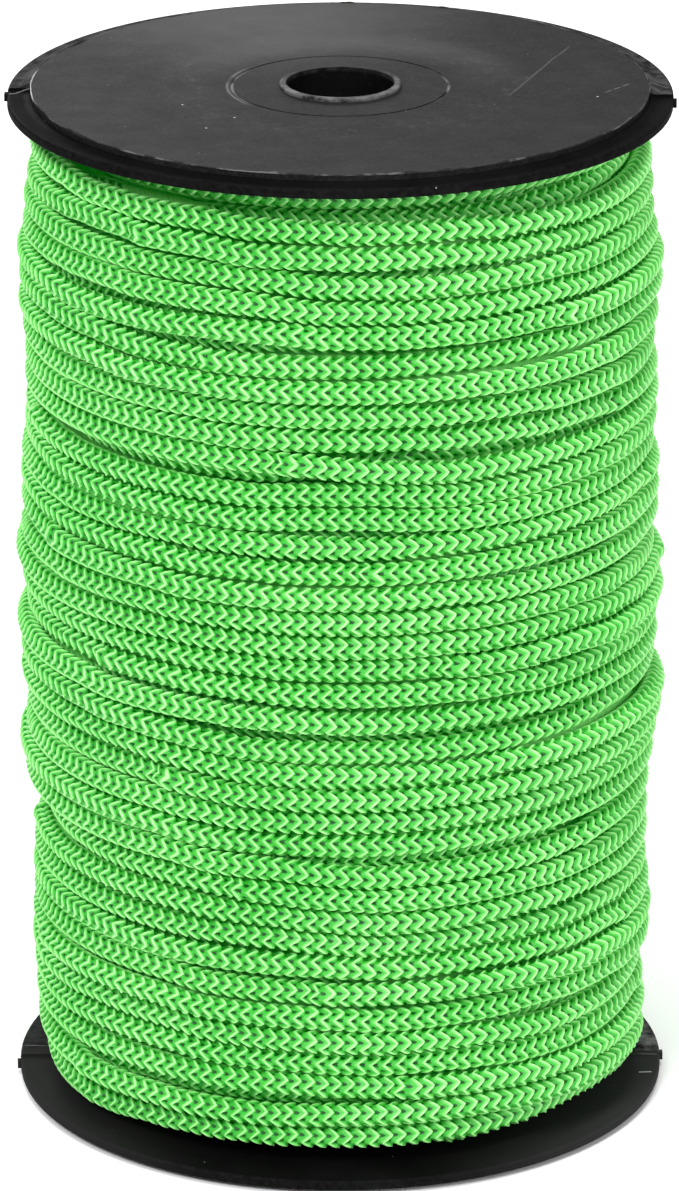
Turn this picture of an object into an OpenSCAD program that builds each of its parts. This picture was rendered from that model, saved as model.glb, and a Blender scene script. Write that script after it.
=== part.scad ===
// Cord spool: two disc flanges on a hollow barrel, a thin end plate seated in each
// flange, a spindle sleeve through both, and one cord wound between the flanges.
// Frame: millimetres, origin at the centre of the foot, +Z along the bore.
// The front of the spool is the -Y side.

/* [Spool] */
// Height over the outer faces of the two end plates
spool_h = 132.4; // [110:0.1:165]
// Outer diameter of a flange's rim
flange_d = 83; // [82:0.1:100]
// Thickness of a flange's rim
rim_t = 1.25; // [1.1:0.05:1.8]
// Rounding of the rim's outer edges
rim_round = 0.35; // [0.1:0.05:0.5]
// How far the sunk half of the rim lies below the end plate's face
rim_sink = 1.0; // [0.9:0.05:1.4]
// How far the raised half of the rim stands above the sunk half
half_step = 0.35; // [0.2:0.05:0.6]
// Turn of the line between the two half rims, seen from above
split_turn = 2; // [0:0.5:8]

/* [Rim lugs] */
// How far a lug stands proud of the rim
lug_out = 0.4; // [0.2:0.05:0.8]
// Length of a lug along the rim
lug_len = 1.2; // [0.8:0.1:4]

/* [End plates] */
// Diameter of an end plate
plate_d = 77; // [70:0.1:78]
// Thickness of an end plate
plate_t = 0.8; // [0.5:0.05:0.85]
// Diameter of the fine ring groove round the bore
ring_d = 27; // [22:0.5:40]
// Width of the ring groove
ring_w = 0.35; // [0.2:0.05:0.6]
// Depth of the ring groove
ring_deep = 0.12; // [0.05:0.01:0.2]

/* [Bore] */
// Inner diameter of the spindle sleeve
bore_d = 13.6; // [10:0.1:15]
// Wall of the spindle sleeve
sleeve_wall = 0.5; // [0.4:0.05:0.9]
// Height of the sleeve's rolled lip above the upper end plate
lip_h = 0.5; // [0.3:0.05:0.9]
// How far the lip reaches past the sleeve's wall
lip_out = 0.3; // [0.2:0.05:0.5]
// How far the sleeve's lower end stays above the foot
sleeve_lift = 0.3; // [0.1:0.05:0.6]

/* [Barrel and hub] */
// Outer diameter of the barrel that the cord is wound on
barrel_d = 30; // [29:0.1:36]
// Wall of the barrel
barrel_wall = 2; // [1.2:0.1:2.3]
// Length of the spigot that holds an end of the barrel
spigot_len = 8; // [5:0.5:9]
// Wall of the spigot
spigot_wall = 1.6; // [1:0.1:1.8]
// Wall of the boss round the sleeve
boss_wall = 1.6; // [1:0.1:1.8]
// How far the flat hub pad reaches past the barrel
pad_out = 2; // [1:0.5:5]
// Diameter of the hole that the cord's inner end goes through
anchor_d = 3.6; // [3.5:0.1:4.5]
// Height of that hole above the lower hub pad
anchor_z = 12; // [11.5:0.5:30]

/* [Cord] */
// Diameter of the cord
cord_d = 3; // [2.4:0.1:3]
// Diameter of the winding at the lower flange
winding_low_d = 76.4; // [66:0.1:77]
// Diameter of the winding at the upper flange
winding_top_d = 78.8; // [66:0.1:79]
// How far the winding swells half-way up, on the radius
winding_swell = 1.4; // [0:0.1:1.6]
// Height of the outer end of the cord
tail_z = 5.5; // [5:0.5:40]
// How far the middle of the tail lies outside the winding
tail_out = 0.6; // [0:0.1:0.7]
// Where the tail leaves the winding, from +X towards the back
tail_from = 62; // [30:1:80]
// Angle that the tail covers
tail_sweep = 34; // [20:1:60]
// Diameter of the sealed bead on the cord's end
bead_d = 3.6; // [3.2:0.1:3.8]
// Diameter of the knot on the cord's inner end
knot_d = 5; // [4.8:0.1:5.1]

/* [Clearances] */
// Gap all round between an end plate and the raised half rim
seat_gap = 0.1; // [0.05:0.05:0.3]
// Radial gap between the sleeve and the holes it passes through
sleeve_gap = 0.05; // [0.02:0.01:0.15]
// Radial gap between a spigot and the barrel
spigot_gap = 0.1; // [0.05:0.05:0.3]
// Gap between the cord and what it lies against
cord_gap = 0.3; // [0.2:0.05:0.5]

/* [Hidden] */
$fn = 128;

// Below, z is counted from an end plate's outer face inwards, so it is negative.
rim_r = flange_d / 2;
seat_r = plate_d / 2 + seat_gap;
sunk_z = -rim_sink;
raised_z = sunk_z + half_step;
inner_z = sunk_z - rim_t;
slope_w = (rim_r - seat_r) * 0.6;
cove_w = (rim_r - seat_r) * 0.35;
curve_steps = 8;

sleeve_r = bore_d / 2 + sleeve_wall;
hole_r = sleeve_r + sleeve_gap;
lip_r = sleeve_r + lip_out;
lip_round = lip_out * 0.8;

barrel_r = barrel_d / 2;
barrel_in_r = barrel_r - barrel_wall;
spigot_r = barrel_in_r - spigot_gap;
pad_r = barrel_r + pad_out;
web_step = 2;
web_r = pad_r + web_step;
web_lap = 1;
lug_back = 0.1;
hub_z = -inner_z;
barrel_len = spool_h - 2 * hub_z;

winding_z = hub_z + cord_gap;
winding_h = spool_h - 2 * winding_z;
winding_steps = 24;
tail_r = winding_r(tail_z) + tail_out;
anchor_up = hub_z + anchor_z;
knot_r = barrel_in_r - cord_gap - knot_d / 2;

// Points along an arc, from angle a to angle b about [x, y].
function arc(x, y, r, a, b, n = 5) =
    [for (i = [0:n]) let (t = a + (b - a) * i / n) [x + r * cos(t), y + r * sin(t)]];

// Points down an S-shaped slope from [x, y] to [x + w, y - drop].
function slope(x, y, w, drop, n = curve_steps) =
    [for (i = [0:n]) [x + w * i / n, y - drop * (1 - cos(180 * i / n)) / 2]];

// Radius of the winding at height z.
function winding_r(z) =
    let (u = (z - winding_z) / winding_h)
    (winding_low_d + (winding_top_d - winding_low_d) * u) / 2 + winding_swell * sin(180 * u);

// Outer edge of a half rim whose outer face is at height z.
function rim_edge(z) = concat(
    arc(rim_r - rim_round, z - rim_round, rim_round, 90, 0),
    arc(rim_r - rim_round, z - rim_t + rim_round, rim_round, 0, -90)
);

// Section of the half whose rim lies below the end plate's face.
function sunk_section() = concat(
    [[web_r, inner_z], [web_r, -plate_t]],
    slope(seat_r, -plate_t, cove_w, rim_sink - plate_t),
    rim_edge(sunk_z)
);

// Section of the half whose rim rises to the end plate's face.
function raised_section() = concat(
    [[web_r, inner_z + half_step], [web_r, -plate_t], [seat_r, -plate_t]],
    slope(seat_r, 0, slope_w, -raised_z),
    rim_edge(raised_z)
);

// Small lugs on the rim at both ends of one half: the -Y half when side is -1.
module rim_lugs(z, side) {
    lug_angle = lug_len / rim_r * 180 / PI;
    for (end = [0, 180])
        rotate([0, 0, (end == 0) == (side > 0) ? end + lug_back : end - lug_back - lug_angle])
            rotate_extrude(angle = lug_angle)
                translate([rim_r - rim_round * 2, z - rim_t + rim_round / 2])
                    square([lug_out + rim_round * 2, rim_t - rim_round]);
}

// Middle of a flange: web, hub pad, spigot for the barrel and boss for the sleeve.
module hub() {
    rotate_extrude() {
        translate([hole_r, inner_z + half_step])
            square([web_r + web_lap - hole_r, rim_sink + rim_t - half_step - plate_t]);
        translate([hole_r, inner_z]) square([pad_r - hole_r, rim_t]);
        translate([hole_r, inner_z - spigot_len]) square([boss_wall, spigot_len + rim_t]);
        translate([spigot_r - spigot_wall, inner_z - spigot_len])
            square([spigot_wall, spigot_len + rim_t]);
    }
}

// A flange with its outer side up. The sunk half is on the -Y side.
module flange(lugs_on_sunk) {
    rotate([0, 0, -split_turn]) {
        rotate([0, 0, 180]) rotate_extrude(angle = 180) polygon(sunk_section());
        rotate_extrude(angle = 180) polygon(raised_section());
        if (lugs_on_sunk) rim_lugs(sunk_z, -1);
        else rim_lugs(raised_z, 1);
    }
    hub();
}

// An end plate with its outer side up, ring groove cut round the bore.
module end_plate() {
    translate([0, 0, -plate_t])
        difference() {
            cylinder(h = plate_t, d = plate_d);
            translate([0, 0, -1]) cylinder(h = plate_t + 2, r = hole_r);
            rotate_extrude()
                translate([(ring_d - ring_w) / 2, plate_t - ring_deep])
                    square([ring_w, 1]);
        }
}

module upper_flange() {
    color([0.17, 0.17, 0.18]) translate([0, 0, spool_h]) flange(true);
}

module upper_end_plate() {
    color([0.27, 0.27, 0.28]) translate([0, 0, spool_h]) end_plate();
}

module lower_flange() {
    color([0.17, 0.17, 0.18]) rotate([180, 0, 0]) flange(false);
}

module lower_end_plate() {
    color([0.27, 0.27, 0.28]) rotate([180, 0, 0]) end_plate();
}

// Tube between the hub pads, with the hole for the cord's inner end at the back.
module barrel() {
    color([0.22, 0.22, 0.23])
        translate([0, 0, hub_z])
            difference() {
                cylinder(h = barrel_len, r = barrel_r);
                translate([0, 0, -1]) cylinder(h = barrel_len + 2, r = barrel_in_r);
                translate([0, 0, anchor_z]) rotate([-90, 0, 0])
                    cylinder(h = barrel_r + 1, d = anchor_d);
            }
}

// Thin tube through both flanges, with a rolled lip on the upper end plate.
module spindle_sleeve() {
    lip_section = concat(
        [[bore_d / 2, spool_h], [lip_r, spool_h]],
        arc(lip_r - lip_round, spool_h + lip_h - lip_round, lip_round, 0, 90),
        [[bore_d / 2, spool_h + lip_h]]
    );
    color([0.35, 0.35, 0.36])
        rotate_extrude() {
            translate([bore_d / 2, sleeve_lift])
                square([sleeve_wall, spool_h - sleeve_lift + lip_h / 2]);
            polygon(lip_section);
        }
}

// Space that the tail and its bead take up on the winding, larger by gap all round.
module tail_space(gap) {
    rotate([0, 0, tail_from])
        rotate_extrude(angle = tail_sweep)
            translate([tail_r, tail_z]) circle(d = cord_d + 2 * gap, $fn = 32);
    rotate([0, 0, tail_from + tail_sweep])
        translate([tail_r, 0, tail_z]) sphere(d = bead_d + 2 * gap, $fn = 32);
}

// The wound cord as one closed ring, with the groove that its outer end lies in.
module cord_winding() {
    section = concat(
        [for (i = [0:winding_steps])
            let (z = winding_z + winding_h * i / winding_steps) [winding_r(z), z]],
        [[barrel_r + cord_gap, winding_z + winding_h], [barrel_r + cord_gap, winding_z]]
    );
    color([0.23, 0.8, 0.25])
        difference() {
            rotate_extrude() polygon(section);
            tail_space(cord_gap);
        }
}

module cord_outer_end() {
    color([0.3, 0.88, 0.32]) tail_space(0);
}

// Stopper knot inside the barrel, with the cord's neck through the anchor hole.
module cord_start_knot() {
    color([0.3, 0.88, 0.32])
        translate([0, 0, anchor_up]) {
            translate([0, knot_r, 0]) sphere(d = knot_d, $fn = 48);
            translate([0, knot_r, 0]) rotate([-90, 0, 0])
                cylinder(h = barrel_r - knot_r, d = cord_d, $fn = 32);
        }
}

upper_flange();
upper_end_plate();
lower_flange();
lower_end_plate();
barrel();
spindle_sleeve();
cord_winding();
cord_outer_end();
cord_start_knot();
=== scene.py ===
"""Looks for a plastic spool wound with 50 m of bright green knitted cord."""
import math

import bpy
import numpy as np
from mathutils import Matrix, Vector


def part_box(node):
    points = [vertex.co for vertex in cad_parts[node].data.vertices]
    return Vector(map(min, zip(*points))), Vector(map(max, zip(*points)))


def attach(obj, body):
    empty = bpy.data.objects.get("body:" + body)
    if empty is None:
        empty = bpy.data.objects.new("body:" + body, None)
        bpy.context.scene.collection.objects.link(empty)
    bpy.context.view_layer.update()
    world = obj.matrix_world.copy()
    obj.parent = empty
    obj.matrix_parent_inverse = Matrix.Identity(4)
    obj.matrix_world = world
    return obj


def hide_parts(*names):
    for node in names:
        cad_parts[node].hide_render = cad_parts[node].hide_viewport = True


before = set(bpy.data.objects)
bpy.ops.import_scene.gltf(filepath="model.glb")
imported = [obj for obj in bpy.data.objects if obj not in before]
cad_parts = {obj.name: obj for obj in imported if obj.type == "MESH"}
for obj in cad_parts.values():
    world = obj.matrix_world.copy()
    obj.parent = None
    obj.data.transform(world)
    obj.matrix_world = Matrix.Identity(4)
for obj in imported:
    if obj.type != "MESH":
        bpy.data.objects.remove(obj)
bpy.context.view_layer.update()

MM = 0.001
TURN = 2 * math.pi

# ---------------------------------------------------------------- sizes, in mm

BARREL_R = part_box("barrel")[1].x / MM
WOUND_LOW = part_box("cord_winding")[0].z / MM
WOUND_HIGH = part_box("cord_winding")[1].z / MM
SPOOL_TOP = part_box("upper_end_plate")[1].z / MM
PLATE_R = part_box("upper_end_plate")[1].x / MM
RIM_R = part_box("upper_flange")[1].y / MM
KNOT_LOW, KNOT_HIGH = (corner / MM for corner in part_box("cord_start_knot"))

CORD_D = 3.0
CORD_LENGTH = 50000
KNOT_R = (KNOT_HIGH.x - KNOT_LOW.x) / 2
KNOT_PLACE = Vector((0, KNOT_LOW.y + KNOT_R, (KNOT_LOW.z + KNOT_HIGH.z) / 2))

# Outline of the full winding, as in the part's source
WOUND_LOW_D = 76.4
WOUND_TOP_D = 78.8
WOUND_SWELL = 1.4

# Outer end of the cord: its height, the angle it stops at, and the sealed bead on it
TAIL_Z = (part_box("cord_outer_end")[0].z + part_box("cord_outer_end")[1].z) / 2 / MM
TAIL_ANGLE = 96
BEAD_R = 1.8

# ---------------------------------------------------------------- camera

LOOK_AT = Vector((-0.1, 0, 64.98)) * MM
CAMERA_DISTANCE = 1.025
CAMERA_ELEVATION = math.radians(19.71)
LENS = 162.2
SENSOR_HEIGHT = 24


def make_camera():
    data = bpy.data.cameras.new("camera")
    data.sensor_fit = "VERTICAL"
    data.sensor_height = SENSOR_HEIGHT
    data.lens = LENS
    data.clip_end = 20
    camera = bpy.data.objects.new("camera", data)
    back = Vector((0, -math.cos(CAMERA_ELEVATION), math.sin(CAMERA_ELEVATION)))
    camera.location = LOOK_AT + back * CAMERA_DISTANCE
    camera.rotation_euler = (math.pi / 2 - CAMERA_ELEVATION, 0, 0)
    bpy.context.collection.objects.link(camera)
    bpy.context.scene.camera = camera


# ---------------------------------------------------------------- materials

class Value:
    """A number, colour or vector inside a finish. Arithmetic on a number adds Math nodes."""

    def __init__(self, finish, socket):
        self.finish = finish
        self.socket = socket

    def math(self, operation, *others):
        numbers = dict(enumerate((self, *others)))
        return self.finish.node("Math", {"operation": operation}, numbers)

    def __add__(self, other):
        return self.math("ADD", other)

    def __sub__(self, other):
        return self.math("SUBTRACT", other)

    def __rsub__(self, other):
        return self.math("MULTIPLY_ADD", -1, other)

    def __mul__(self, other):
        return self.math("MULTIPLY", other)

    def __pow__(self, other):
        return self.math("POWER", other)

    __radd__ = __add__
    __rmul__ = __mul__

    def between(self, low, high):
        """0 at low, 1 at high, and smooth from one to the other."""
        numbers = {"Value": self, "From Min": low, "From Max": high}
        return self.finish.node("MapRange", {"interpolation_type": "SMOOTHSTEP"}, numbers)


class Finish:
    """One node material on a principled shader."""

    def __init__(self, name, **constants):
        self.material = bpy.data.materials.new(name)
        self.material.use_nodes = True
        self.tree = self.material.node_tree
        self.shader = self.tree.nodes["Principled BSDF"]
        for socket, value in constants.items():
            self.shader.inputs[socket.replace("_", " ")].default_value = value

    def node(self, kind, settings=None, sockets=None, out=0):
        made = self.tree.nodes.new("ShaderNode" + kind)
        for name, value in (settings or {}).items():
            if name == "stops":
                self.set_stops(made.color_ramp, value)
            else:
                setattr(made, name, value)
        for name, value in (sockets or {}).items():
            self.join(value, made.inputs[name])
        return Value(self, made.outputs[out])

    def join(self, value, socket):
        if isinstance(value, Value):
            self.tree.links.new(value.socket, socket)
        else:
            socket.default_value = value

    @staticmethod
    def set_stops(ramp, stops):
        while len(ramp.elements) < len(stops):
            ramp.elements.new(1)
        for element, (place, colour) in zip(ramp.elements, stops):
            element.position = place
            element.color = (*colour, 1)

    def feed(self, **values):
        for name, value in values.items():
            self.join(value, self.shader.inputs[name.replace("_", " ")])

    def place(self):
        """Place on the piece, in metres."""
        return self.node("TexCoord", out="Object")

    def noise(self, scale, detail=3, roughness=0.5, stretch=None):
        where = self.place()
        if stretch:
            where = self.node("VectorMath", {"operation": "MULTIPLY"}, {0: where, 1: stretch})
        sockets = {"Vector": where, "Scale": scale, "Detail": detail, "Roughness": roughness}
        return self.node("TexNoise", None, sockets)

    def mix(self, share, low, high):
        """Colour low where share is 0, and high where it is 1."""
        low = low if isinstance(low, Value) else (*low, 1)
        high = high if isinstance(high, Value) else (*high, 1)
        sockets = {0: share, 6: low, 7: high}
        return self.node("Mix", {"data_type": "RGBA"}, sockets, out=2)

    def bump(self, height, depth):
        """Normal of a surface with that height, from 0 to 1, times depth in mm."""
        sockets = {"Height": height, "Distance": depth * MM, "Strength": 1}
        return self.node("Bump", None, sockets)


# ---------------------------------------------------------------- winding the cord

STATIONS = 120          # places where the cord is laid, each turn
CELL = 0.2              # grid of heights along the barrel, mm
NESTED = 3.0            # distance of two cords that touch
ROW = 3.2               # usual distance between neighbouring rows
TIGHTEST, LOOSEST = 0.8, 1.3     # limits of the row distance, in usual rows
LAST_TIGHTEST, LAST_LOOSEST = 0.95, 1.03
PASSES = 9              # the first is short: from the knot down to the lower flange
ROW_AREA = 8.9          # room that one row is counted as, mm2
SAG_IN = 2.5            # pull into the hollows between rows
HOLD_LINE = 0.12        # pull towards the guide's line
LAST_SAG_IN, LAST_HOLD_LINE = 1.0, 0.35
LAST_PASSES = 2         # passes that are laid with more care
SQUEEZE = 0.25          # how far their rows press into what is under them
FLATTEN = 0.3           # share of a bulge that the pull of the cord takes out
STIFFNESS = 6.0         # reluctance to turn sideways
SIDEWAYS = 9            # cells that the cord may slip either way
SHORT_WANDER, LONG_WANDER = 0.4, 0.5
LAST_WANDER = 0.45
TURNS_MOST = 320
STRETCH = 97            # stations laid at a time; the rest of a turn is only looked at ahead
END_PLAY = 0.05         # between the first row and the end of the barrel
HELD = 12               # stations of the last stretch that the pull still reaches
FIRST_PRESS = 0.1       # how far the rows of the other passes press in
SHORT_REACH, LONG_REACH = 0.16, 0.9    # turns over which the cord wanders
LIE_DEPTH = 0.25        # the outer rows lie this much inside the outline
ROOM_CELLS = 31         # cells that the room left is averaged over
BRIDGE = 4              # stations that a taut cord bridges either way
EASE_SIDE, EASE_REACH = 6, 2.6         # stations that its bends are eased over
SEED = 2


def wound_radius(height):
    """Outer radius of the full winding at a height."""
    up = (height - WOUND_LOW) / (WOUND_HIGH - WOUND_LOW)
    low, top = WOUND_LOW_D / 2, WOUND_TOP_D / 2
    return low + (top - low) * up + WOUND_SWELL * np.sin(np.pi * up)


def smooth_noise(random, count, reach):
    """Wander with a spread of 1 that changes over about reach steps."""
    side = int(reach * 3)
    weights = np.exp(-0.5 * (np.arange(-side, side + 1) / reach) ** 2)
    raw = random.standard_normal(count + 2 * side)
    return np.convolve(raw, weights, "valid") / math.sqrt((weights ** 2).sum())


def easiest_line(ease, heights, before):
    """Choice at each station that costs least, bends counted too."""
    count, choices = ease.shape
    cost = ease[0].copy()
    if before is not None:
        cost += STIFFNESS * (heights[0] - before) ** 2
    came_from = np.zeros((count, choices), int)
    for i in range(1, count):
        slip = heights[i][:, None] - heights[i - 1][None, :]
        total = cost[None, :] + STIFFNESS * slip ** 2
        came_from[i] = total.argmin(1)
        cost = total[np.arange(choices), came_from[i]] + ease[i]
    choice = int(cost.argmin())
    line = np.empty(count, int)
    for i in range(count - 1, -1, -1):
        line[i] = choice
        choice = came_from[i, choice]
    return line


def pulled_taut(radius, before, squeeze):
    """A cord under tension bridges hollows, and presses a little into rows that cross it."""
    joined = np.concatenate([before, radius])
    wide = np.pad(joined, BRIDGE, "edge")
    crest = np.max([wide[j:j + len(joined)] for j in range(2 * BRIDGE + 1)], axis=0)
    weights = np.exp(-0.5 * (np.arange(-EASE_SIDE, EASE_SIDE + 1) / EASE_REACH) ** 2)
    blend = np.pad((crest + joined) / 2, EASE_SIDE, "edge")
    taut = np.convolve(blend, weights / weights.sum(), "valid")[-len(radius):]
    return np.maximum(taut, radius) - squeeze


def wind_cord():
    """Lays the cord in overlapping stretches, and gives its radius and height at each station."""
    random = np.random.default_rng(SEED)
    heights = np.arange(WOUND_LOW + END_PLAY + CORD_D / 2, WOUND_HIGH - END_PLAY - CORD_D / 2, CELL)
    last = len(heights) - 1
    clear = np.full((STATIONS, last + 1), BARREL_R + CORD_D / 2)
    side = int(NESTED / CELL)
    rise = np.sqrt(np.maximum(0, NESTED ** 2 - (np.arange(-side, side + 1) * CELL) ** 2))
    slips = np.arange(-SIDEWAYS, SIDEWAYS + 1)
    full = wound_radius(heights) - CORD_D / 2 + NESTED - LIE_DEPTH
    count = TURNS_MOST * STATIONS
    wander = SHORT_WANDER * smooth_noise(random, count, STATIONS * SHORT_REACH)
    wander += LONG_WANDER * smooth_noise(random, count, STATIONS * LONG_REACH)
    radii, places = [], []
    length, guide, way, done, laid = 0, KNOT_PLACE.z, -1, 0, 0
    while length < CORD_LENGTH:
        station = (laid + np.arange(STATIONS)) % STATIONS
        left = max(1, PASSES - done)
        room = np.pad(full - clear.mean(0), ROOM_CELLS // 2, "edge")
        room = np.convolve(room, np.ones(ROOM_CELLS) / ROOM_CELLS, "valid")
        neat = left <= LAST_PASSES
        limits = (LAST_TIGHTEST, LAST_LOOSEST) if left == 1 else (TIGHTEST, LOOSEST)
        rows = np.clip(ROW_AREA * left / np.maximum(room, 0.5), limits[0] * ROW, limits[1] * ROW)
        plan = np.empty(STATIONS)
        for i in range(STATIONS):
            if i == STRETCH:
                kept = guide, way, done
            cell = min(max(int((guide - heights[0]) / CELL), 0), last)
            guide += way * rows[cell] / STATIONS
            if not heights[0] <= guide <= heights[-1]:
                guide = min(max(guide, heights[0]), heights[-1])
                way, done = -way, done + 1
            plan[i] = guide
        guide, way, done = kept
        sway = wander[laid:laid + STATIONS] * (LAST_WANDER if neat else 1)
        cells = np.clip(((plan + sway - heights[0]) / CELL).round().astype(int), 0, last)
        options = np.clip(cells[:, None] + slips[None, :], 0, last)
        ease = (LAST_SAG_IN if neat else SAG_IN) * clear[station[:, None], options]
        ease += (LAST_HOLD_LINE if neat else HOLD_LINE) * (slips[None, :] * CELL) ** 2
        before = places[-1][-1] if places else None
        chosen = easiest_line(ease, heights[options], before)
        cells = np.take_along_axis(options, chosen[:, None], axis=1)[:, 0]
        lowest = clear[station, cells]
        held = radii[-1][-HELD:] if radii else lowest[:0]
        radius = pulled_taut(lowest, held, SQUEEZE if neat else FIRST_PRESS)
        radius += FLATTEN * (clear.mean(0)[cells] - radius)
        for i, cell in enumerate(cells[:STRETCH]):
            low, high = max(cell - side, 0), min(cell + side + 1, last + 1)
            over = radius[i] + rise[low - cell + side:high - cell + side]
            np.maximum(clear[station[i], low:high], over, out=clear[station[i], low:high])
        radii.append(radius[:STRETCH])
        places.append(heights[cells[:STRETCH]])
        length += np.hypot(TURN * radius[:STRETCH] / STATIONS, ROW / STATIONS).sum()
        laid += STRETCH
    return np.concatenate(radii), np.concatenate(places)


def shown_share(radius, height):
    """Share of each station's outer side that no later turn lies over."""
    cells = int(round((WOUND_HIGH - WOUND_LOW) / CELL)) + 1
    skin = np.zeros((STATIONS, cells))
    offsets = np.arange(-DOME_CELLS, DOME_CELLS + 1)
    dome = np.sqrt((CORD_D / 2) ** 2 - (offsets * CELL) ** 2)
    station = np.arange(len(radius)) % STATIONS
    middle = ((height - WOUND_LOW) / CELL).round().astype(int)
    for i, cell, r in zip(station, middle, radius):
        over = skin[i, cell - DOME_CELLS:cell + DOME_CELLS + 1]
        np.maximum(over, r + dome, out=over)
    looked = skin[station[:, None], middle[:, None] + offsets[None, :]]
    return (looked < radius[:, None] + dome[None, :] + SEEN_PAST).mean(1)


# ---------------------------------------------------------------- the cord as knitted tubes

START_ANGLE = 90        # where the cord comes out of the barrel
STITCH = 1.64           # length of one stitch
STITCH_RINGS = 8        # rings of the mesh in a stitch
WALES = 4               # columns of stitches round the cord
WALE_COLUMNS = 6
SLANT = 0.68            # how far a stitch's legs lean, in stitches
YARN_CREST = 0.44       # where a stitch's yarn is highest, in stitches
YARN_SPREAD = 0.17      # width of that crest, in stitches
YARN_RELIEF = 0.34      # from the crest to the ground between, mm
HOLE_DEPTH = 0.5
HOLE_FROM = 0.6         # where the holes between stitches start
KNIT_R = 1.4            # middle of the relief
SEEN_PAST = 0.1
SEEN_SHARE = 0.1        # share of its width that must show for a stretch to be knitted
DOME_CELLS = 7          # half the cord's width in cells
PLAIN_EVERY = 8         # rings left where turns hide the cord, one in so many
PLAIN_COLUMNS = 8
RINGS_MOST = 4000       # in one piece
PLAIN_PARTS = 5         # pieces that the hidden start of the cord is cut into
EARLY_SHARE = 0.01      # of the shown rings, left plain as they lie deepest
ROLL_SPREAD, ROLL_REACH, ROLL_LENGTH = 1.2, 70, 260    # how the cord rolls about its own line


def cord_line():
    """Centre points of the cord at its stations, and how much of each shows."""
    radius, height = wind_cord()
    tail = round((TAIL_ANGLE - START_ANGLE) % 360 / 360 * STATIONS)
    count = (len(radius) - 1 - tail) // STATIONS * STATIONS + tail + 1
    radius, height = radius[:count], height[:count]
    settle = np.clip((np.arange(count) - count + STATIONS // 2) / (STATIONS // 3), 0, 1)
    height = height + (TAIL_Z - height[-1]) * settle ** 2 * (3 - 2 * settle)
    angle = math.radians(START_ANGLE) + np.arange(count) * TURN / STATIONS
    points = np.stack([radius * np.cos(angle), radius * np.sin(angle), height], 1)
    return points, shown_share(radius, height)


def along(points, distance):
    """Points and directions at distances along a smooth line through the points."""
    run = np.concatenate([[0], np.cumsum(np.linalg.norm(np.diff(points, axis=0), axis=1))])
    wide = np.concatenate([2 * points[:1] - points[1:2], points, 2 * points[-1:] - points[-2:-1]])
    i = np.clip(np.searchsorted(run, distance, "right") - 1, 0, len(points) - 2)
    t = ((distance - run[i]) / (run[i + 1] - run[i]))[:, None]
    a, b, c, d = wide[i], wide[i + 1], wide[i + 2], wide[i + 3]
    place = 0.5 * (2 * b + (c - a) * t + (2 * a - 5 * b + 4 * c - d) * t ** 2
                   + (3 * b - a - 3 * c + d) * t ** 3)
    way = 0.5 * ((c - a) + 2 * (2 * a - 5 * b + 4 * c - d) * t + 3 * (3 * b - a - 3 * c + d) * t ** 2)
    return place, way / np.linalg.norm(way, axis=1, keepdims=True)


def tube_mesh(name, rings, stitch):
    """Closed tube through rings of points in mm, with what the yarn does at each of them."""
    count, columns = rings.shape[:2]
    points = np.concatenate([rings.reshape(-1, 3), rings[:1].mean(1), rings[-1:].mean(1)]) * MM
    i, j = np.meshgrid(np.arange(count - 1), np.arange(columns), indexing="ij")
    k = (j + 1) % columns
    quads = np.stack([i * columns + j, i * columns + k, (i + 1) * columns + k, (i + 1) * columns + j], -1)
    j = np.arange(columns)
    k = (j + 1) % columns
    last = (count - 1) * columns
    ends = np.concatenate([
        np.stack([k, j, np.full(columns, count * columns)], -1),
        np.stack([last + j, last + k, np.full(columns, count * columns + 1)], -1)])
    loops = np.concatenate([quads.ravel(), ends.ravel()]).astype(np.int32)
    sides = np.concatenate([np.full(quads.size // 4, 4), np.full(len(ends), 3)])
    mesh = bpy.data.meshes.new(name)
    mesh.vertices.add(len(points))
    mesh.vertices.foreach_set("co", points.astype(np.float32).ravel())
    mesh.loops.add(len(loops))
    mesh.loops.foreach_set("vertex_index", loops)
    mesh.polygons.add(len(sides))
    mesh.polygons.foreach_set("loop_start", (np.cumsum(sides) - sides).astype(np.int32))
    mesh.update(calc_edges=True)
    mesh.polygons.foreach_set("use_smooth", sides == 4)
    yarn = mesh.attributes.new("yarn", "FLOAT_VECTOR", "POINT")
    values = np.concatenate([stitch.reshape(-1, 3), np.zeros((2, 3))])
    yarn.data.foreach_set("vector", values.astype(np.float32).ravel())
    lay_out_strips(mesh, count, columns, len(ends) * 3)
    mesh.update()
    return mesh


def lay_out_strips(mesh, count, columns, spare):
    """Folds the tube's long skin into side by side strips that fill one square."""
    strips = max(1, round(math.sqrt(count / columns / 2)))
    tall = math.ceil((count - 1) / strips)
    i, j = np.meshgrid(np.arange(count - 1), np.arange(columns), indexing="ij")
    strip, row = i // tall, i % tall
    corners = [(0, 0), (0, 1), (1, 1), (1, 0)]
    u = np.stack([(strip + 0.03 + 0.94 * (j + dj) / columns) / strips for di, dj in corners], -1)
    v = np.stack([0.005 + 0.99 * (row + di) / tall for di, dj in corners], -1)
    flat = np.stack([u, v], -1).reshape(-1, 2)
    flat = np.concatenate([flat, np.full((spare, 2), 0.002)])
    layer = mesh.uv_layers.new(name="OFBake")
    layer.uv.foreach_set("vector", flat.astype(np.float32).ravel())


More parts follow.
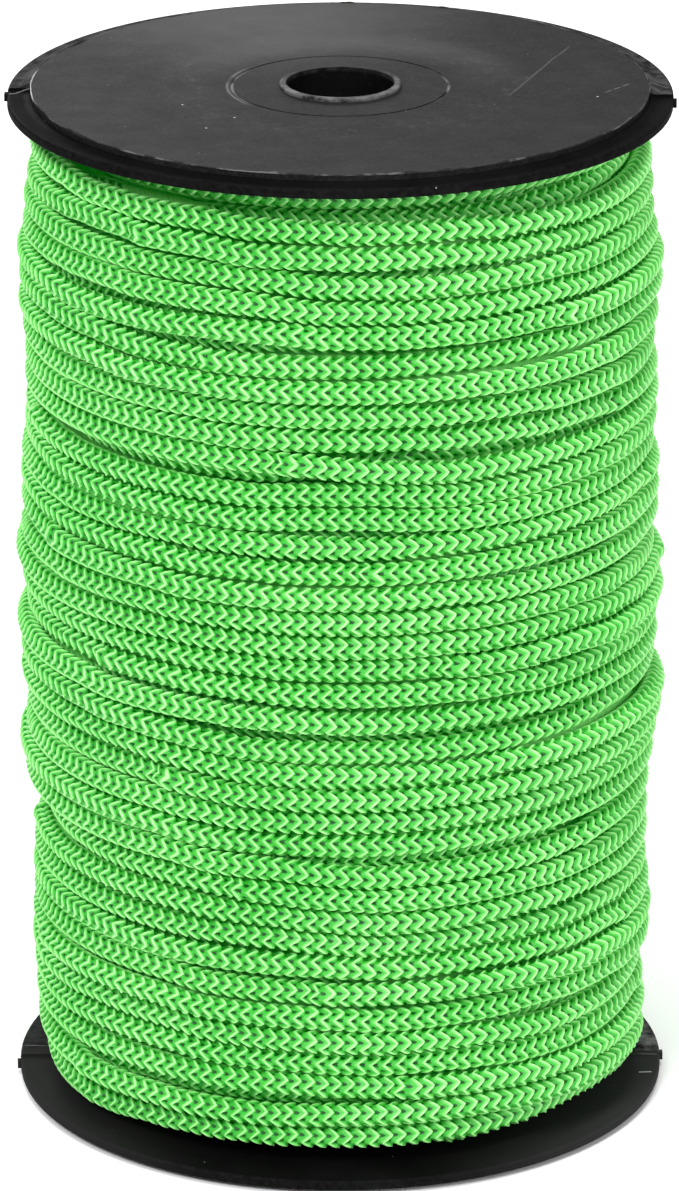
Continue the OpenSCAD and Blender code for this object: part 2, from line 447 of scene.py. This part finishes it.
def knitted_tube(name, points, numbers, columns, twist, fine):
    """Cord through the rings with those numbers, counted from the cord's start."""
    middle, way = along(points, numbers * STITCH / STITCH_RINGS)
    out = middle * (1, 1, 0)
    out -= way * (out * way).sum(1, keepdims=True)
    out /= np.linalg.norm(out, axis=1, keepdims=True)
    up = np.cross(way, out)
    column = np.arange(columns)
    plain = columns == PLAIN_COLUMNS
    if plain:
        fold = np.zeros(columns)
    else:
        fold = np.abs(column % WALE_COLUMNS - WALE_COLUMNS / 2) / (WALE_COLUMNS / 2)
    angle = twist[:, None] + TURN * column[None, :] / columns
    phase = (numbers % STITCH_RINGS) / STITCH_RINGS
    ridge = np.exp(-((phase - YARN_CREST) / YARN_SPREAD) ** 2)[:, None]
    across = np.interp(fold, [0, 0.5, 1], [0.75, 1, 0.85])[None, :]
    hole = (phase > HOLE_FROM)[:, None] * np.interp(fold, [0, 0.33, 0.67, 1], [1, 0.12, 0.12, 0.9])[None, :]
    relief = YARN_RELIEF * (ridge * across - 0.5) - HOLE_DEPTH * hole
    relief = relief * fine[:, None]
    radius = KNIT_R + (0 if plain else 1) * relief
    rings = (middle[:, None] + radius[..., None] * (np.cos(angle)[..., None] * out[:, None]
             + np.sin(angle)[..., None] * up[:, None])
             + SLANT * STITCH * fold[None, :, None] * way[:, None])
    start = (numbers - numbers[0])[:, None] / STITCH_RINGS + 0 * fold[None, :]
    depth = 0 * radius if plain else (relief - relief.min()) / max(np.ptp(relief), 0.01)
    stitch = np.stack([start, fold[None, :] + 0 * start, depth], -1)
    return middle, tube_mesh(name, rings, stitch)


def make_cord(finish, knot):
    """The whole cord as a chain of pieces, each starting where the one before it ends."""
    points, shown = cord_line()
    run = np.concatenate([[0], np.cumsum(np.linalg.norm(np.diff(points, axis=0), axis=1))])
    total = int(run[-1] / STITCH * STITCH_RINGS)
    number = np.arange(total + 1)
    station = np.interp(number * STITCH / STITCH_RINGS, run, np.arange(len(run)))
    seen = shown > SEEN_SHARE
    seen = np.convolve(seen, np.ones(7), "same") > 0
    fine = seen[station.round().astype(int)]
    random = np.random.default_rng(SEED + 1)
    turning = ROLL_SPREAD * smooth_noise(random, len(run), ROLL_REACH) + run / ROLL_LENGTH
    twist = np.interp(station, np.arange(len(run)), turning)
    late = np.flatnonzero(np.cumsum(fine) > EARLY_SHARE * fine.sum())[0]
    keep = (fine & (number >= late)) | (number % PLAIN_EVERY == 0) | (number == total)
    kept = number[keep]
    first = np.searchsorted(kept, late)
    cuts = list(range(0, first, first // PLAIN_PARTS + 1))
    cuts += list(range(first, len(kept) - 1, RINGS_MOST)) + [len(kept) - 1]
    parts = []
    for part, (a, b) in enumerate(zip(cuts, cuts[1:])):
        numbers = kept[a:b + 1]
        columns = PLAIN_COLUMNS if a < first else WALES * WALE_COLUMNS
        both = np.zeros(len(numbers), bool)
        both[1:-1] = (np.diff(numbers)[1:] == 1) & (np.diff(numbers)[:-1] == 1)
        both[0] = both[1]
        both[-1] = both[-2]
        name = f"cord_part_{part + 1:02d}"
        middle, mesh = knitted_tube(name, points, numbers, columns, twist[numbers], both)
        piece = bpy.data.objects.new(mesh.name, mesh)
        mesh.materials.append(finish.material)
        bpy.context.collection.objects.link(piece)
        parts.append((piece, middle, (numbers[-1] - numbers[0]) * STITCH / STITCH_RINGS))
    end, before = parts[-1][1][-1], parts[-1][1][-3]
    bead = make_end_bead(finish, end, (end - before) / np.linalg.norm(end - before))
    for part, (piece, middle, length) in enumerate(parts):
        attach(piece, "root")
        middle[0] * MM
        length * MM
        "bare" if part == len(parts) - 1 else "object"
        middle * MM
    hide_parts("cord_winding")
    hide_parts("cord_outer_end")
    return parts


# Painted glow: a faint green emission that keeps the shaded gaps between rows from going black
PAINTED_SHADE_GLOW = (0.0, 0.03, 0.001, 1)


def knit_finish():
    """Shiny knitted yarn coloured by relief depth: a painted highlight where a leg crests, deep green
    between, and painted shade nearly black in the holes.
    """
    knit = Finish("green_knit", Roughness=0.45, Specular_IOR_Level=0.35,
                  Emission_Color=PAINTED_SHADE_GLOW, Emission_Strength=1)
    yarn = knit.node("Attribute", {"attribute_name": "yarn"}, out="Vector")
    height = knit.node("SeparateXYZ", None, {0: yarn}, out="Z")
    strands = knit.node("VectorMath", {"operation": "MULTIPLY"}, {0: yarn, 1: (9, 1.3, 0)})
    strand = knit.node("TexNoise", None, {"Vector": strands, "Scale": 1, "Detail": 1})
    patch = knit.noise(55, 2)
    level = height + (strand - 0.5) * 0.3 + (patch - 0.5) * 0.2
    # Painted light and shade: the ramp over relief depth paints the crests pale and the grooves and holes
    # dark around the yarn's own green; the strand and patch noise is the yarn's own tone.
    colour = knit.node("ValToRGB", {"stops": [
        (0.0, (0.0, 0.02, 0.002)), (0.34, (0.0, 0.06, 0.002)), (0.5, (0.01, 0.3, 0.01)),
        (0.7, (0.06, 0.41, 0.048)), (0.87, (0.2, 0.66, 0.15)), (1.0, (0.38, 0.8, 0.29))]}, {0: level})
    knit.feed(Base_Color=colour)
    return knit


class Plastic(Finish):
    """Black moulded plastic with dust, specks and fine scratches."""

    def __init__(self, name, shade=0.014, dust=0.05, **constants):
        super().__init__(name, **{"Specular_IOR_Level": 0.35, **constants})
        self.shade = shade
        self.colour = self.mix(self.noise(90, 5, 0.6).between(0.35, 0.75), [shade] * 3, [shade * 1.7] * 3)
        self.wear(self.specks(420, 0.055, 0.72), 0.22)
        self.wear(self.noise(900, 4, 0.7).between(0.56, 0.8) * dust, 0.3)
        self.rough = 0.42 + 0.22 * self.noise(240, 4, 0.6)
        self.height = self.noise(1500, 2, 0.5)

    def wear(self, share, shade):
        """Greys the surface where share is 1."""
        self.colour = self.mix(share, self.colour, [shade] * 3)

    def specks(self, scale, radius, rarity):
        """Small round specks, fewer as rarity nears 1."""
        where = {"Vector": self.place(), "Scale": scale}
        distance = self.node("TexVoronoi", None, where)
        chance = self.node("TexVoronoi", None, where, out="Color")
        chance = self.node("SeparateColor", None, {0: chance})
        return (1 - distance.between(radius * 0.5, radius)) * chance.between(rarity, rarity + 0.02)

    def axes(self):
        """Place on the part along X, Y and Z, in mm."""
        place = self.node("VectorMath", {"operation": "SCALE"}, {0: self.place(), "Scale": 1 / MM})
        return [self.node("SeparateXYZ", None, {0: place}, out=axis) for axis in "XYZ"]

    def away(self, place):
        """Distance in mm from a place given in mm."""
        spot = tuple(number * MM for number in place)
        apart = self.node("VectorMath", {"operation": "DISTANCE"}, {0: self.place(), 1: spot}, out="Value")
        return apart * (1 / MM)

    def scratch(self, start, end, width, shade, broken, only=1):
        """A fine line between two places on the part, in mm, with gaps in it, where only is 1."""
        start, end = Vector(start), Vector(end)
        way = end - start
        turned = self.node("VectorMath", {"operation": "SUBTRACT"}, {0: self.place(), 1: start * MM})
        share = self.node("VectorMath", {"operation": "DOT_PRODUCT"},
                          {0: turned, 1: way / way.length_squared / MM}, out="Value")
        side = self.node("VectorMath", {"operation": "DOT_PRODUCT"},
                         {0: turned, 1: way.cross(Vector((0, 0, 1))).normalized() / MM}, out="Value")
        side = side + (self.noise(120, 1) - 0.5) * 0.8
        line = 1 - side.math("ABSOLUTE").between(width * 0.4, width)
        on = share.between(-0.02, 0.02) * (1 - share.between(0.98, 1.02))
        gaps = self.noise(700, 2).between(broken - 0.15, broken + 0.05)
        self.wear(line * on * only * gaps, shade)

    def done(self):
        self.feed(Base_Color=self.colour, Roughness=self.rough, Normal=self.bump(self.height, 0.02))
        return self


def flange_finish():
    """Flange plastic: blacker than the plates, dusty on its raised halves and worn along its edge; the lower
    flange's front half is painted lighter towards both ends, where the winding's shade does not reach.
    """
    flange = Plastic("flange_plastic", shade=0.003, dust=0.005, Specular_IOR_Level=0.006)
    x, y, z = flange.axes()
    radius = (x * x + y * y) ** 0.5
    dust = flange.noise(380, 5, 0.75).between(0.32, 0.72)
    raised = z.between(SPOOL_TOP - 0.76, SPOOL_TOP - 0.66)
    flange.wear(raised * dust * 0.75, 0.075)
    foot = 1 - z.between(3, 4)
    behind = y.between(0, 1)
    flange.wear(foot * behind * x.between(20, 34) * dust, 0.16)
    flange.wear(foot * behind * (1 - x.between(-34, -20)) * dust, 0.03)
    # Painted light and shade: the lower flange's front half is painted lighter towards both ends and left
    # black in the middle, where the winding shades it.
    flange.wear(foot * (1 - behind) * x.between(8, 40) * 0.9, 0.028)
    flange.wear(foot * (1 - behind) * (1 - x.between(-40, -14)) * 0.9, 0.02)
    edge = radius.between(RIM_R - 0.45, RIM_R - 0.2)
    flange.wear(edge * flange.noise(1500, 3, 0.6).between(0.3, 0.8) * 0.3, 0.02)
    flange.scratch((38.6, -6.5, 2.25), (40.2, -6.3, 2.25), 0.22, 0.35, 0.2, foot)
    return flange.done()


def sleeve_finish():
    """Lip on the upper end painted pale, partly dust and partly a painted highlight that is strongest at the
    front; black down the bore.
    """
    sleeve = Plastic("sleeve_plastic", shade=0.002, dust=0.03, Specular_IOR_Level=0.06)
    y, z = sleeve.axes()[1:]
    # Painted highlight and dust: the lip is paled in noisy patches, most at the front, where its near flank
    # catches the light.
    lip_dust_and_highlight = z.between(SPOOL_TOP - 0.2, SPOOL_TOP + 0.2) * (1 - y.between(-1, 6) * 0.8)
    sleeve.wear(lip_dust_and_highlight * sleeve.noise(420, 4, 0.7).between(0.3, 0.7), 0.12)
    return sleeve.done()


PLATE_SPECKS = [(31.9, -4.8), (1.8, -6.9), (-13, -14), (-19.5, -8.4), (-16.4, -18.6), (8, -11)]
RING_R = 13.5           # groove round the bore
DISHED_R = 20           # the plate seems to rise a little here; this band is painted lighter at the back and dusted


def plate_finish():
    """Charcoal plastic with a fine grain, a painted reflection greying it towards the back left, a painted
    lighter crescent at the back of the dish band, painted highlights on the groove ring at the sides,
    mottled dust and a few scratches.
    """
    plate = Plastic("plate_plastic", shade=0.006, dust=0.03, Specular_IOR_Level=0.045)
    top = SPOOL_TOP
    x, y = plate.axes()[:2]
    radius = (x * x + y * y) ** 0.5
    grain = plate.noise(2600, 3, 0.7).between(0.4, 0.7)
    plate.wear(grain * 0.5, 0.03)
    # Painted reflection: the plate is greyed towards the back left, where a light behind it would reflect.
    behind = 1 - plate.away((-10, 34, top)).between(4, 34)
    plate.wear(behind * 0.6, 0.075)
    # Painted light: the band round DISHED_R is painted lighter at the back, as if the plate rose there; the
    # same band also gets mottled dust.
    dish_light_and_dust = 1 - (radius - DISHED_R).math("ABSOLUTE").between(0.5, 6)
    plate.wear(dish_light_and_dust * y.between(-2, 16) * 0.22, 0.09)
    plate.wear(dish_light_and_dust * plate.noise(700, 4, 0.8).between(0.5, 0.75) * 0.35, 0.09)
    # Painted highlight: the groove ring, and a second line beside it at the left, are painted pale at the
    # sides and broken by noise.
    sides = x.math("ABSOLUTE").between(9, 13.4)
    broken = plate.noise(260, 3).between(0.35, 0.6)
    for ring, share in ((RING_R, 0.8), (RING_R + 0.6, 0.5 * (1 - x.between(-1, 0)))):
        plate.wear((1 - (radius - ring).math("ABSOLUTE").between(0.05, 0.28)) * sides * broken * share, 0.17)
    plate.scratch((20.9, -4.3, top), (29, 18, top), 0.18, 0.05, 0.45)
    plate.scratch((31.8, -4.8, top), (36.2, 1.4, top), 0.16, 0.1, 0.5)
    for place in PLATE_SPECKS:
        plate.wear(1 - plate.away((*place, top)).between(0.06, 0.2), 0.5)
    return plate.done()


def flash_finish():
    """Thin flash on the plate's edge: mostly black, with painted glints where it is broken and a painted
    highlight at the left.
    """
    flash = Plastic("flash_plastic", shade=0.012, dust=0.1, Specular_IOR_Level=0.1)
    # Painted glints: pale noisy patches along the flash.
    flash.wear(flash.noise(170, 4, 0.7).between(0.45, 0.62) * 0.7, 0.16)
    # Painted highlight: the flash near the left of the plate is painted near white, where the edge catches
    # the light.
    flash.wear((1 - flash.away((-PLATE_R, 0, SPOOL_TOP)).between(4, 8)) * 0.9, 0.75)
    return flash.done()


SPLIT_TURN = 2          # turn of the line between the half rims, in degrees


def flash_ring(name, radius, top, finish, height, waves, thick=0.12):
    """Thin uneven skin of plastic squeezed up round an edge."""
    random = np.random.default_rng(len(name))
    count = 720
    angle = np.arange(count) * TURN / count
    rise = np.convolve(random.standard_normal(count + 8), np.ones(9) / 3, "valid") * 0.35 + waves(angle)
    rise = np.clip(rise, 0.02, 1) * height
    shift = np.convolve(random.standard_normal(count + 14), np.ones(15) / 4, "valid") * 0.04
    profile = [(-thick / 2, -0.1, 0), (-thick / 4, 0, 0.8), (0, 0, 1)]
    profile += [(-out, down, share) for out, down, share in reversed(profile[:2])]
    rings = np.stack([np.stack([
        (radius + shift + out) * np.cos(angle), (radius + shift + out) * np.sin(angle),
        top + down + rise * share], -1) for out, down, share in profile], 1)
    mesh = bpy.data.meshes.new(name)
    columns = len(profile)
    faces = [(i * columns + j, i * columns + (j + 1) % columns,
              (i + 1) % count * columns + (j + 1) % columns, (i + 1) % count * columns + j)
             for i in range(count) for j in range(columns)]
    mesh.from_pydata((rings.reshape(-1, 3) * MM).tolist(), [], faces)
    mesh.materials.append(finish.material)
    piece = bpy.data.objects.new(name, mesh)
    bpy.context.collection.objects.link(piece)
    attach(piece, "root")
    return piece


def bump_at(angle, middle, width):
    """1 at the middle angle, falling to 0 over width, in degrees."""
    apart = np.degrees(np.angle(np.exp(1j * (angle - math.radians(middle)))))
    return np.exp(-(apart / width) ** 2)


def plate_edge_waves(angle):
    """Height of the flash round the plate: tall at the left, and low at the front and back."""
    left = bump_at(angle, 182, 9) + 0.5 * bump_at(angle, 215, 20)
    return 0.1 + left + 0.35 * bump_at(angle, 300, 50)


# ---------------------------------------------------------------- room

FLOOR_HALF = 6          # metres
WORLD_LIGHT = 0.6
AIM_AT = Vector((0, 0, 0.066))


def make_room():
    floor = bpy.data.meshes.new("floor")
    corners = [(x * FLOOR_HALF, y * FLOOR_HALF, 0) for x, y in ((-1, -1), (1, -1), (1, 1), (-1, 1))]
    floor.from_pydata(corners, [], [(0, 1, 2, 3)])
    ground = bpy.data.objects.new("floor", floor)
    pale = Finish("pale_floor", Roughness=0.9, Base_Color=(0.92, 0.92, 0.92, 1))
    floor.materials.append(pale.material)
    bpy.context.collection.objects.link(ground)
    world = bpy.data.worlds.new("studio")
    bpy.context.scene.world = world
    world.use_nodes = True
    world.node_tree.nodes["Background"].inputs[0].default_value = (1, 1, 1, 1)
    world.node_tree.nodes["Background"].inputs[1].default_value = WORLD_LIGHT
    bpy.context.scene.view_settings.view_transform = "Standard"
    for name, place, size, power in LIGHTS:
        data = bpy.data.lights.new(name, "AREA")
        data.shape = "DISK"
        data.size = size
        data.energy = power
        lamp = bpy.data.objects.new(name, data)
        lamp.location = place
        aim = AIM_AT - Vector(place)
        lamp.rotation_euler = aim.to_track_quat("-Z", "Y").to_euler()
        bpy.context.collection.objects.link(lamp)


LIGHTS = [
    ("front_left_light", (-0.55, -1.15, 1.1), 0.5, 18),
    ("right_light", (0.9, -1.1, 0.7), 0.5, 8),
    ("top_light", (0.0, -0.1, 1.6), 0.9, 16),
    ("back_left_light", (-0.5, 1.8, 0.75), 0.7, 9),
]


def swept(name, points, thick, finish, columns=12, yarn=0.6):
    """Solid tube along points in mm, with its own thickness at each."""
    points = np.array(points, float)
    run = np.concatenate([[0], np.cumsum(np.linalg.norm(np.diff(points, axis=0), axis=1))])
    place, way = along(points, run[:-1])
    side = np.cross(way, (0.3, 0.2, 1))
    side /= np.linalg.norm(side, axis=1, keepdims=True)
    up = np.cross(way, side)
    angle = np.arange(columns) * TURN / columns
    rings = place[:, None] + np.asarray(thick)[:-1, None, None] * (
        np.cos(angle)[:, None] * side[:, None] + np.sin(angle)[:, None] * up[:, None])
    mesh = tube_mesh(name, rings, np.zeros((*rings.shape[:2], 3)) + yarn)
    mesh.materials.append(finish.material)
    piece = bpy.data.objects.new(name, mesh)
    bpy.context.collection.objects.link(piece)
    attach(piece, "root")
    return piece


def make_knot(finish):
    """Overhand knot pulled tight inside the barrel, with its neck through the anchor hole."""
    step = np.linspace(0.25, TURN - 0.25, 64)
    loop = np.stack([np.sin(step) + 2 * np.sin(2 * step), np.sin(3 * step),
                     np.cos(step) - 2 * np.cos(2 * step)], -1) * (0.62, 0.8, 0.62)
    neck = np.array([(0, out, 0) for out in np.linspace(1.8, BARREL_R - KNOT_PLACE.y, 8)])
    points = np.concatenate([loop, neck]) + np.array(KNOT_PLACE)
    thick = np.concatenate([np.full(64, 0.85), np.linspace(1.1, 1.45, 8)])
    piece = swept("cord_start_knot_tied", points, thick, finish)
    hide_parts("cord_start_knot")
    return piece


def make_end_bead(finish, end, way):
    """The cord's outer end, melted to a small uneven bead so that it does not fray."""
    step = np.linspace(-1, 1, 17)
    points = end + way * step[:, None] * BEAD_R * 0.8
    thick = BEAD_R * np.sqrt(1.02 - step ** 2) * (1 + 0.05 * np.sin(step * 7))
    piece = swept("cord_end_bead", points, thick, finish, columns=20, yarn=0.5)
    return piece


def make_split_edge_highlight(finish):
    """Thin pale strip along the step between the two halves of each rim: a painted highlight for the light
    that the step's edge catches.
    """
    raised = [(PLATE_R + 0.15, 0), (PLATE_R + 0.8, -0.2), (PLATE_R + 1.9, -0.62)]
    raised += [(RIM_R - 0.3, -0.65), (RIM_R, -0.8)]
    under = [(PLATE_R - 1, -2.25), (PLATE_R + 1, -2.25), (RIM_R - 0.4, -2.25), (RIM_R, -2.1)]
    for side, turn in (("right", 0), ("left", 180)):
        for level, turned, line in (("upper", SPLIT_TURN, [(r, SPOOL_TOP + z) for r, z in raised]),
                                    ("lower", -SPLIT_TURN, [(r, -z) for r, z in under])):
            angle = math.radians(turn + turned)
            points = [(r * math.cos(angle), r * math.sin(angle), z) for r, z in line]
            piece = swept(f"{level}_{side}_split_edge_highlight", points, [0.09] * len(points), finish, columns=8)


def main():
    make_camera()
    knit = knit_finish()
    make_cord(knit, make_knot(knit))
    finishes = {"flange": flange_finish(), "plate": plate_finish(),
                "barrel": Plastic("barrel_plastic", shade=0.02).done(),
                "sleeve": sleeve_finish()}
    for name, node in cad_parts.items():
        for kind, finish in finishes.items():
            if kind in name:
                for slot in node.material_slots:
                    slot.material = finish.material
    flash = flash_finish()
    flash_ring("upper_plate_flash", PLATE_R, SPOOL_TOP, flash, 0.22, plate_edge_waves)
    # Painted highlight: these strips are paler than the flange, with some dust, standing in for the light
    # caught along each step's edge.
    split = Plastic("split_edge_highlight_plastic", shade=0.05, dust=0.3, Specular_IOR_Level=0.2).done()
    make_split_edge_highlight(split)
    make_room()


main()
